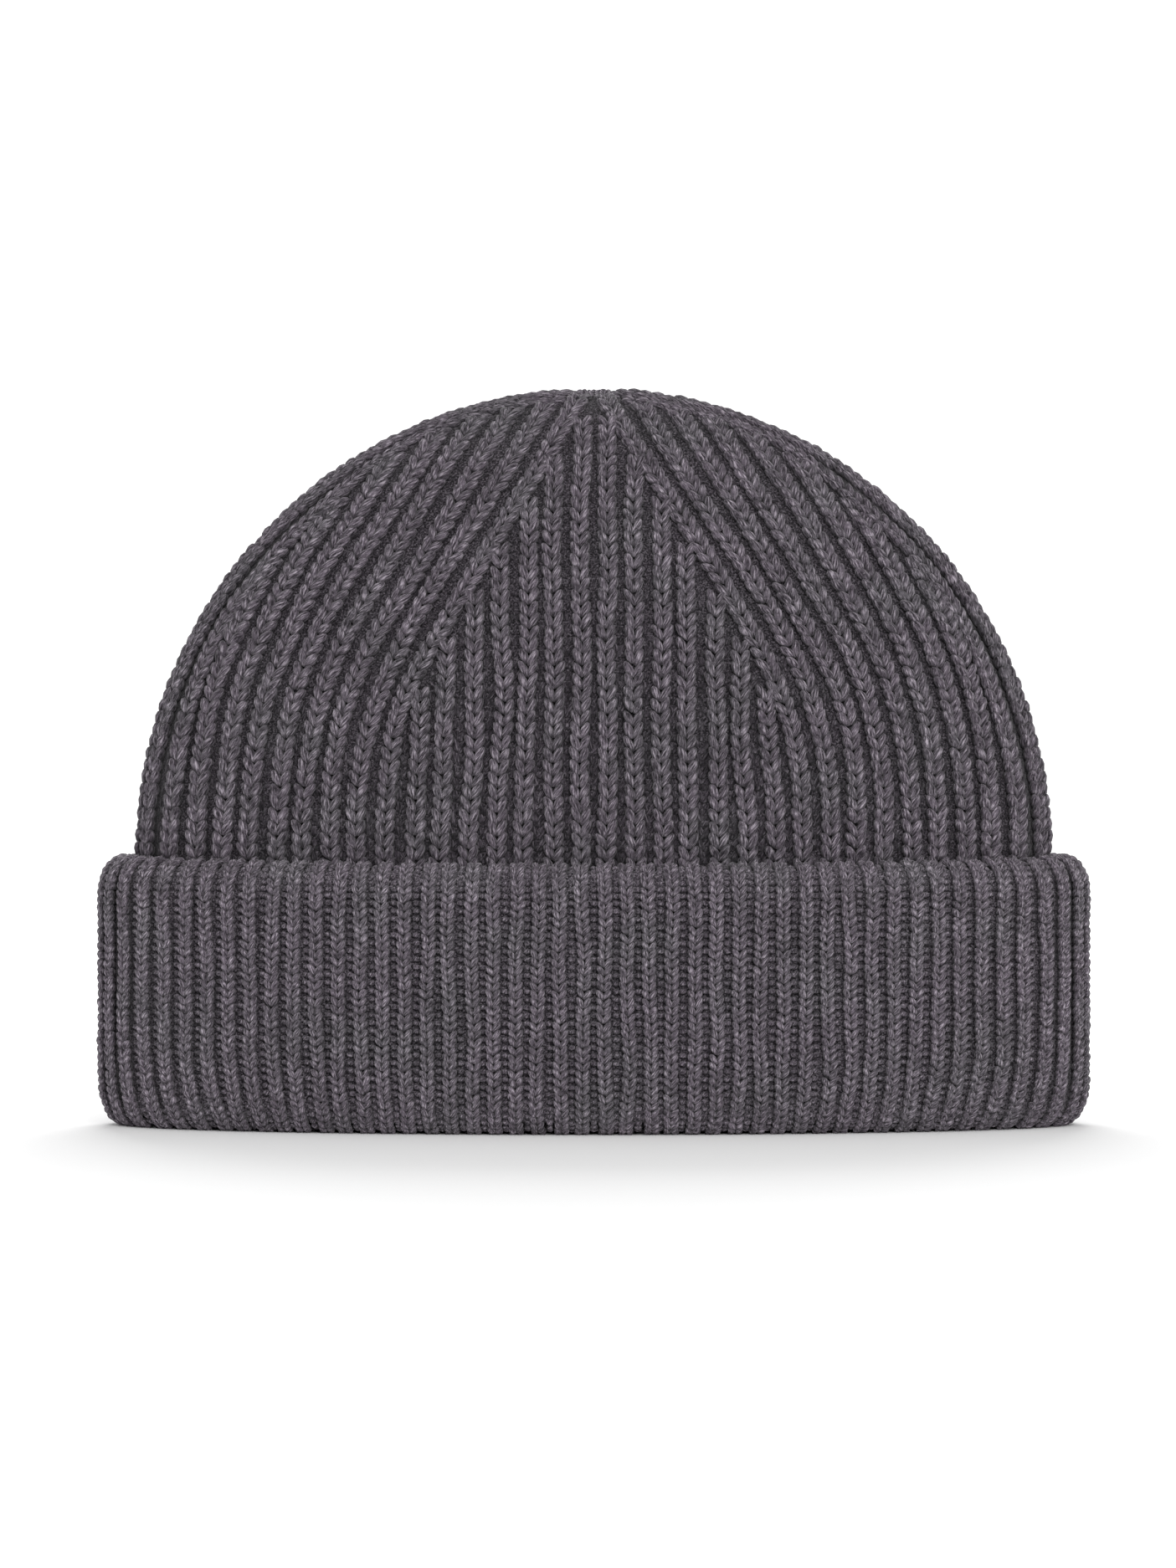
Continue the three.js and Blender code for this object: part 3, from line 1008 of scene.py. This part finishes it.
def folded_label():
    """The blank label: a satin ribbon folded double, its fold hanging a little away from the crown."""
    width = LABEL_HIGH[0] - LABEL_LOW[0]
    drop = LABEL_HIGH[2] - LABEL_LOW[2]
    deselect()
    bpy.ops.mesh.primitive_grid_add(x_subdivisions=16, y_subdivisions=96, size=1.0)
    label = bpy.context.object
    label.name = "care_label_ribbon"
    points = mesh_points(label.data)
    along = 2.0 * points[:, 1] * drop
    from_fold = np.abs(along)
    half_gap, fold_round = 0.17 * MM, 0.3 * MM
    loop_size, loop_reach = 0.45 * MM, 1.6 * MM
    apart = half_gap * (1.0 - np.exp(-from_fold / fold_round))
    roll = from_fold / loop_reach
    apart = apart + loop_size * roll * np.exp(1.0 - roll)
    hang = 1.0 - from_fold / drop
    swing, ripple = 1.6 * MM, 0.35 * MM
    away = swing * hang**2 + ripple * hang * np.cos(2.4 * math.pi * points[:, 0])
    wall = middle_of(LABEL_LOW, LABEL_HIGH)[1]
    y = wall - away - np.sign(along) * apart
    set_mesh_points(label.data, np.stack([points[:, 0] * width, y, LABEL_LOW[2] + from_fold], axis=-1))
    cloth = label.modifiers.new("cloth", "SOLIDIFY")
    cloth.thickness = 0.24 * MM
    cloth.offset = 0.0
    bpy.ops.object.modifier_apply(modifier=cloth.name)
    bpy.ops.object.mode_set(mode="EDIT")
    bpy.ops.mesh.select_all(action="SELECT")
    bpy.ops.mesh.normals_make_consistent(inside=False)
    bpy.ops.object.mode_set(mode="OBJECT")
    bpy.ops.object.shade_smooth_by_angle(angle=math.radians(50))
    return label


def label_stitches():
    """The row of sewing that holds the label, one thread that dips through it at every stitch."""
    stitches = 8
    step = np.linspace(0.0, 1.0, stitches * 16 + 1)
    half_run = (LABEL_HIGH[0] - LABEL_LOW[0]) / 2 - 1.5 * MM
    x = -half_run + 2.0 * half_run * step
    depth = np.cos(2.0 * math.pi * stitches * step)
    y = LABEL_LOW[1] - 0.1 * MM + 0.45 * MM * depth
    z = LABEL_HIGH[2] - 2.4 * MM + 0.12 * MM * np.sin(2.0 * math.pi * 3 * step)
    path = np.stack([x, y, z], axis=-1)
    return strand("care_label_sewing", plies(path, 0.13 * MM, 40), 0.3 * MM)


# ---------------------------------------------------------------- materials


class Finish:
    """A node material under construction, around one Principled shader."""

    def __init__(self, name, roughness, sheen=0.0, specular=0.3):
        self.material = bpy.data.materials.new(name)
        self.material.use_nodes = True
        self.nodes = self.material.node_tree.nodes
        self.links = self.material.node_tree.links
        self.shader = self.nodes["Principled BSDF"]
        self.shader.inputs["Roughness"].default_value = roughness
        self.shader.inputs["Specular IOR Level"].default_value = specular
        self.shader.inputs["Sheen Weight"].default_value = sheen
        self.shader.inputs["Sheen Roughness"].default_value = 0.45

    def node(self, kind, inputs=None, **settings):
        """A new node. An input is another node's socket, which is linked, or a value."""
        made = self.nodes.new(kind)
        for key, value in settings.items():
            setattr(made, key, value)
        for key, value in (inputs or {}).items():
            if isinstance(value, bpy.types.NodeSocket):
                self.links.new(value, made.inputs[key])
            else:
                made.inputs[key].default_value = value
        return made

    def noise(self, coordinates, scale, detail=2.0, roughness=0.5):
        inputs = {"Vector": coordinates, "Scale": scale, "Detail": detail, "Roughness": roughness}
        return self.node("ShaderNodeTexNoise", inputs).outputs["Fac"]

    def stretched(self, coordinates, scale, twist=0.0):
        inputs = {"Vector": coordinates, "Scale": scale, "Rotation": (0.0, 0.0, twist)}
        return self.node("ShaderNodeMapping", inputs).outputs["Vector"]

    def maths(self, operation, first, second=0.0):
        made = self.node("ShaderNodeMath", {0: first, 1: second}, operation=operation)
        return made.outputs[0]

    def spread(self, value, low, high, to_low=0.0, to_high=1.0):
        inputs = {"Value": value, "From Min": low, "From Max": high, "To Min": to_low, "To Max": to_high}
        return self.node("ShaderNodeMapRange", inputs).outputs["Result"]

    def mix(self, share, first, second):
        made = self.node("ShaderNodeMix", {0: share, 6: first, 7: second}, data_type="RGBA")
        return made.outputs[2]

    def bump(self, height, distance, strength=1.0, under=None):
        inputs = {"Height": height, "Distance": distance, "Strength": strength}
        if under is not None:
            inputs["Normal"] = under
        return self.node("ShaderNodeBump", inputs).outputs["Normal"]


def opaque(rgb, share=1.0):
    """A share of a colour, with full alpha."""
    return (*(channel * share for channel in rgb), 1.0)


def wool(name, colours, lightness, has_yarn=True):
    """Heathered wool. Fibres run along each leg of yarn, and every leg has its own tone and painted shade."""
    finish = Finish(name, roughness=0.9, sheen=0.12, specular=0.2)
    place = finish.node("ShaderNodeTexCoord").outputs["Object"]
    if has_yarn:
        along = finish.node("ShaderNodeUVMap", uv_map="yarn").outputs["UV"]
        tone_and_shade = finish.node("ShaderNodeAttribute", attribute_name="tone_and_shade").outputs["Fac"]
        turned = finish.stretched(along, (7.0, 4.6, 1.0), twist=0.35)
        fibre = finish.noise(finish.stretched(turned, (2.6, 0.6, 1.0)), 1.0, detail=3.0, roughness=0.6)
    else:
        # With no yarn map there is no painted shade here, only random tone from a noise.
        tone_and_shade = finish.noise(place, 900.0)
        fibre = finish.noise(place, 2600.0, detail=3.0)
    flecks = finish.noise(place, 2100.0, detail=2.0, roughness=0.7)
    patches = finish.noise(place, 130.0, detail=2.0)
    cool_patches = finish.noise(place, 75.0, detail=1.0)
    main = opaque(colours.yarn_mid, lightness)
    dark = opaque(colours.yarn_dark, lightness)
    light = opaque(colours.yarn_light, lightness)
    cool = opaque(colours.yarn_cool, lightness)
    base = finish.mix(finish.spread(cool_patches, 0.45, 0.7, 0.0, 0.5), main, cool)
    base = finish.mix(finish.spread(fibre, 0.51, 0.38), base, dark)
    base = finish.mix(finish.spread(fibre, 0.53, 0.68), base, light)
    base = finish.mix(finish.spread(flecks, 0.58, 0.8, 0.0, 0.5), base, light)
    level = finish.spread(patches, 0.3, 0.7, 0.86, 1.12)
    # The random tone and painted shade of each point scale the colour.
    level = finish.maths("MULTIPLY", level, finish.spread(tone_and_shade, -1.5, 0.75, 0.16, 1.5))
    scale = finish.node("ShaderNodeVectorMath", {0: base, 1: (1.0, 1.0, 1.0)}, operation="SCALE")
    finish.links.new(level, scale.inputs["Scale"])
    finish.links.new(scale.outputs["Vector"], finish.shader.inputs["Base Color"])
    finish.links.new(finish.spread(flecks, 0.3, 0.7, 0.8, 0.98), finish.shader.inputs["Roughness"])
    strands = finish.bump(fibre, 0.35 * MM, 0.8)
    finish.links.new(finish.bump(flecks, 0.12 * MM, 0.6, strands), finish.shader.inputs["Normal"])
    return finish.material


def satin(name, rgb):
    """Blank woven satin: fine warp floats with a soft sheen."""
    finish = Finish(name, roughness=0.42, sheen=0.2, specular=0.45)
    place = finish.node("ShaderNodeTexCoord").outputs["Object"]
    warp = finish.noise(finish.stretched(place, (9000.0, 9000.0, 900.0)), 1.0, detail=1.0)
    weft = finish.noise(finish.stretched(place, (700.0, 700.0, 5200.0)), 1.0, detail=1.0)
    weave = finish.maths("ADD", finish.maths("MULTIPLY", warp, 0.65), finish.maths("MULTIPLY", weft, 0.35))
    tint = finish.mix(finish.spread(weave, 0.35, 0.6), opaque(rgb, 0.74), opaque(rgb))
    finish.links.new(tint, finish.shader.inputs["Base Color"])
    finish.links.new(finish.spread(weft, 0.3, 0.7, 0.34, 0.55), finish.shader.inputs["Roughness"])
    finish.links.new(finish.bump(weave, 0.08 * MM, 0.7), finish.shader.inputs["Normal"])
    return finish.material


def sewing_thread(name, rgb):
    """Spun thread, with fine fibres across it."""
    finish = Finish(name, roughness=0.6, sheen=0.15, specular=0.35)
    place = finish.node("ShaderNodeTexCoord").outputs["Object"]
    spun = finish.noise(place, 5200.0, detail=2.0)
    tint = finish.mix(finish.spread(spun, 0.35, 0.65), opaque(rgb, 0.66), opaque(rgb))
    finish.links.new(tint, finish.shader.inputs["Base Color"])
    finish.links.new(finish.spread(spun, 0.3, 0.7, 0.5, 0.75), finish.shader.inputs["Roughness"])
    finish.links.new(finish.bump(spun, 0.06 * MM, 0.8), finish.shader.inputs["Normal"])
    return finish.material


def wear(piece, material, body, slot, *nodes):
    """Puts a finished piece on its body, in its material, in the place of its CAD nodes."""
    piece.data.materials.clear()
    piece.data.materials.append(material)
    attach(piece, body)
    if nodes:
        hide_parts(*nodes)


# ---------------------------------------------------------------- operators


class BEANIE_OT_knit_crown(bpy.types.Operator):
    """Knit the crown's four gores and the fabric behind them"""

    bl_idname = "beanie.knit_crown"
    bl_label = "Knit Crown"

    def execute(self, context):
        sizes = context.scene.beanie_crown
        colours = context.scene.beanie_colours
        shape = CrownShape(sizes)
        knit = wool("chunky_wool", colours, lightness=0.76)
        for seed, (name, (gore, quarters)) in enumerate(CROWN_PIECES.items()):
            piece = knit_gore(shape, sizes, f"crown_{name}_knit", gore, quarters, seed + 11)
            wear(piece, knit, "crown", "chunky_knit", f"crown_{gore}_gore")
        ground = crown_ground(sizes)
        # The ground shell is the same wool painted far darker: painted shade for the fabric seen deep between
        # the stitches.
        wear(ground, wool("shaded_ground_wool", colours, lightness=0.22, has_yarn=False), "crown", "chunky_knit")
        return {"FINISHED"}


class BEANIE_OT_knit_cuff(bpy.types.Operator):
    """Knit the cuff's face, its lining and the fabric between them"""

    bl_idname = "beanie.knit_cuff"
    bl_label = "Knit Cuff"

    def execute(self, context):
        sizes = context.scene.beanie_cuff
        colours = context.scene.beanie_colours
        shape = CuffShape(sizes)
        knit = wool("fine_wool", colours, lightness=0.90)
        for quarter in range(4):
            piece = knit_cuff_face(shape, sizes, quarter, quarter + 31)
            wear(piece, knit, "cuff", "fine_knit", "cuff_outer_layer")
        lining = knit_cuff_lining(shape, sizes, 41)
        wear(lining, knit, "cuff", "fine_knit", "cuff_inner_layer")
        ground = cuff_ground(shape, sizes)
        # The band behind the cuff's stitches is the same wool painted far darker: painted shade for the
        # fabric seen between the ribs.
        wear(ground, wool("cuff_shaded_ground_wool", colours, lightness=0.36, has_yarn=False), "cuff", "fine_knit")
        return {"FINISHED"}


class BEANIE_OT_close_crown(bpy.types.Operator):
    """Draw the apex together with its closing yarn and knot"""

    bl_idname = "beanie.close_crown"
    bl_label = "Close Crown"

    def execute(self, context):
        yarn = wool("closing_wool", context.scene.beanie_colours, lightness=0.7, has_yarn=False)
        wear(closing_ring(), yarn, "crown", "yarn", "crown_closing_yarn")
        wear(closing_knot(), yarn, "crown", "yarn", "closing_yarn_knot")
        return {"FINISHED"}


class BEANIE_OT_link_seams(bpy.types.Operator):
    """Link the crown's back, the rim and the band"""

    bl_idname = "beanie.link_seams"
    bl_label = "Link Seams"

    def execute(self, context):
        yarn = wool("linking_wool", context.scene.beanie_colours, lightness=0.75)
        wear(back_seam(context.scene.beanie_crown), yarn, "crown", "yarn", "crown_back_seam")
        wear(rim_seam(), yarn, "crown", "yarn", "band_joining_seam")
        wear(band_seam(), yarn, "cuff", "yarn", "cuff_back_seam")
        return {"FINISHED"}


class BEANIE_OT_sew_label(bpy.types.Operator):
    """Sew the blank label into the crown's back"""

    bl_idname = "beanie.sew_label"
    bl_label = "Sew Label"

    def execute(self, context):
        colours = context.scene.beanie_colours
        label = folded_label()
        wear(label, satin("label_satin", colours.label), "crown", "satin_label", "care_label")
        sewing = label_stitches()
        thread = sewing_thread("label_sewing", colours.thread)
        wear(sewing, thread, "crown", "label_thread", "care_label_stitching")
        return {"FINISHED"}


class BEANIE_OT_set_stage(bpy.types.Operator):
    """Set the pale floor, the soft lights and the camera"""

    bl_idname = "beanie.set_stage"
    bl_label = "Set Stage"

    def execute(self, context):
        floor = stage_sweep()
        finish = Finish("studio_floor", roughness=0.8, specular=0.2)
        place = finish.node("ShaderNodeTexCoord").outputs["Object"]
        pale = context.scene.beanie_colours.floor
        tint = finish.mix(finish.noise(place, 900.0), opaque(pale), opaque(pale, 0.97))
        finish.links.new(tint, finish.shader.inputs["Base Color"])
        floor.data.materials.append(finish.material)
        soft_light("key_light", (0.25, -2.0, 0.7), 0.9, 24.0)
        soft_light("rim_light", (0.0, 1.0, 0.75), 0.7, 11.0)
        soft_light("backdrop_light", (0.0, 1.6, 1.6), 2.0, 40.0, aim=(0.0, 3.0, 0.4))
        set_world()
        set_camera()
        context.scene.view_settings.view_transform = "Standard"
        context.scene.view_settings.look = "None"
        return {"FINISHED"}


def stage_sweep():
    """A floor that curves up into a backdrop, made by drawing out the back edge of a plane."""
    deselect()
    bpy.ops.mesh.primitive_plane_add(size=24.0, location=(0.0, -9.0, 0.0))
    floor = bpy.context.object
    floor.name = "studio_floor"
    bpy.ops.object.transform_apply(location=True)
    bpy.ops.object.mode_set(mode="EDIT")
    bpy.ops.mesh.select_all(action="DESELECT")
    bpy.ops.object.mode_set(mode="OBJECT")
    for edge in floor.data.edges:
        edge.select = all(floor.data.vertices[i].co.y > 2.9 for i in edge.vertices)
    bpy.ops.object.mode_set(mode="EDIT")
    bpy.ops.mesh.select_mode(type="EDGE")
    steps = 8
    length_of_step = 0.2
    for i in range(steps):
        turn = (i + 0.5) / steps * math.pi / 2
        move = (0.0, length_of_step * math.cos(turn), length_of_step * math.sin(turn))
        bpy.ops.mesh.extrude_edges_move(TRANSFORM_OT_translate={"value": move})
    bpy.ops.mesh.extrude_edges_move(TRANSFORM_OT_translate={"value": (0.0, 0.0, 3.0)})
    bpy.ops.object.mode_set(mode="OBJECT")
    bpy.ops.object.shade_smooth()
    return floor


def soft_light(name, place, size, power, aim=(0.0, 0.0, 0.08)):
    """A square soft box that looks at the hat, or at the backdrop."""
    light = bpy.data.lights.new(name, "AREA")
    light.size = size
    light.energy = power
    box = bpy.data.objects.new(name, light)
    box.location = place
    look = Vector(aim) - Vector(place)
    box.rotation_euler = look.to_track_quat("-Z", "Y").to_euler()
    bpy.context.scene.collection.objects.link(box)


def set_world():
    """An even white room."""
    world = bpy.data.worlds.new("soft_room")
    world.use_nodes = True
    world.node_tree.nodes["Background"].inputs["Color"].default_value = (1.0, 1.0, 1.0, 1.0)
    world.node_tree.nodes["Background"].inputs["Strength"].default_value = 0.72
    bpy.context.scene.world = world


def set_camera():
    """A long lens at the front, a touch above the floor."""
    lens = bpy.data.cameras.new("front_camera")
    lens.lens = 200.0
    lens.sensor_width = 36.0
    framed_height = 0.3476
    distance = framed_height * lens.lens / lens.sensor_width
    tilt = math.radians(1.0)
    aim = Vector((-0.0013, 0.0, 0.0755))
    back = Vector((0.0, -math.cos(tilt), math.sin(tilt)))
    camera = bpy.data.objects.new("front_camera", lens)
    camera.location = aim + back * distance
    camera.rotation_euler = (-back).to_track_quat("-Z", "Y").to_euler()
    bpy.context.scene.collection.objects.link(camera)
    bpy.context.scene.camera = camera


class BEANIE_PT_make(bpy.types.Panel):
    """Lists the steps that make the hat"""

    bl_idname = "BEANIE_PT_make"
    bl_label = "Beanie"
    bl_space_type = "VIEW_3D"
    bl_region_type = "UI"
    bl_category = "Beanie"

    def draw(self, context):
        for step in STEPS:
            self.layout.operator(step.bl_idname)


STEPS = (
    BEANIE_OT_knit_crown,
    BEANIE_OT_knit_cuff,
    BEANIE_OT_close_crown,
    BEANIE_OT_link_seams,
    BEANIE_OT_sew_label,
    BEANIE_OT_set_stage,
)
CLASSES = (BeanieCrownSizes, BeanieCuffSizes, BeanieColours, *STEPS, BEANIE_PT_make)


def register():
    for made in CLASSES:
        bpy.utils.register_class(made)
    bpy.types.Scene.beanie_crown = bpy.props.PointerProperty(type=BeanieCrownSizes)
    bpy.types.Scene.beanie_cuff = bpy.props.PointerProperty(type=BeanieCuffSizes)
    bpy.types.Scene.beanie_colours = bpy.props.PointerProperty(type=BeanieColours)


def unregister():
    del bpy.types.Scene.beanie_colours
    del bpy.types.Scene.beanie_cuff
    del bpy.types.Scene.beanie_crown
    for made in reversed(CLASSES):
        bpy.utils.unregister_class(made)


def main():
    """Makes the hat step by step."""
    register()
    bpy.ops.beanie.knit_crown()
    bpy.ops.beanie.knit_cuff()
    bpy.ops.beanie.close_crown()
    bpy.ops.beanie.link_seams()
    bpy.ops.beanie.sew_label()
    bpy.ops.beanie.set_stage()
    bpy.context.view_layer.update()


if __name__ == "__main__":
    main()
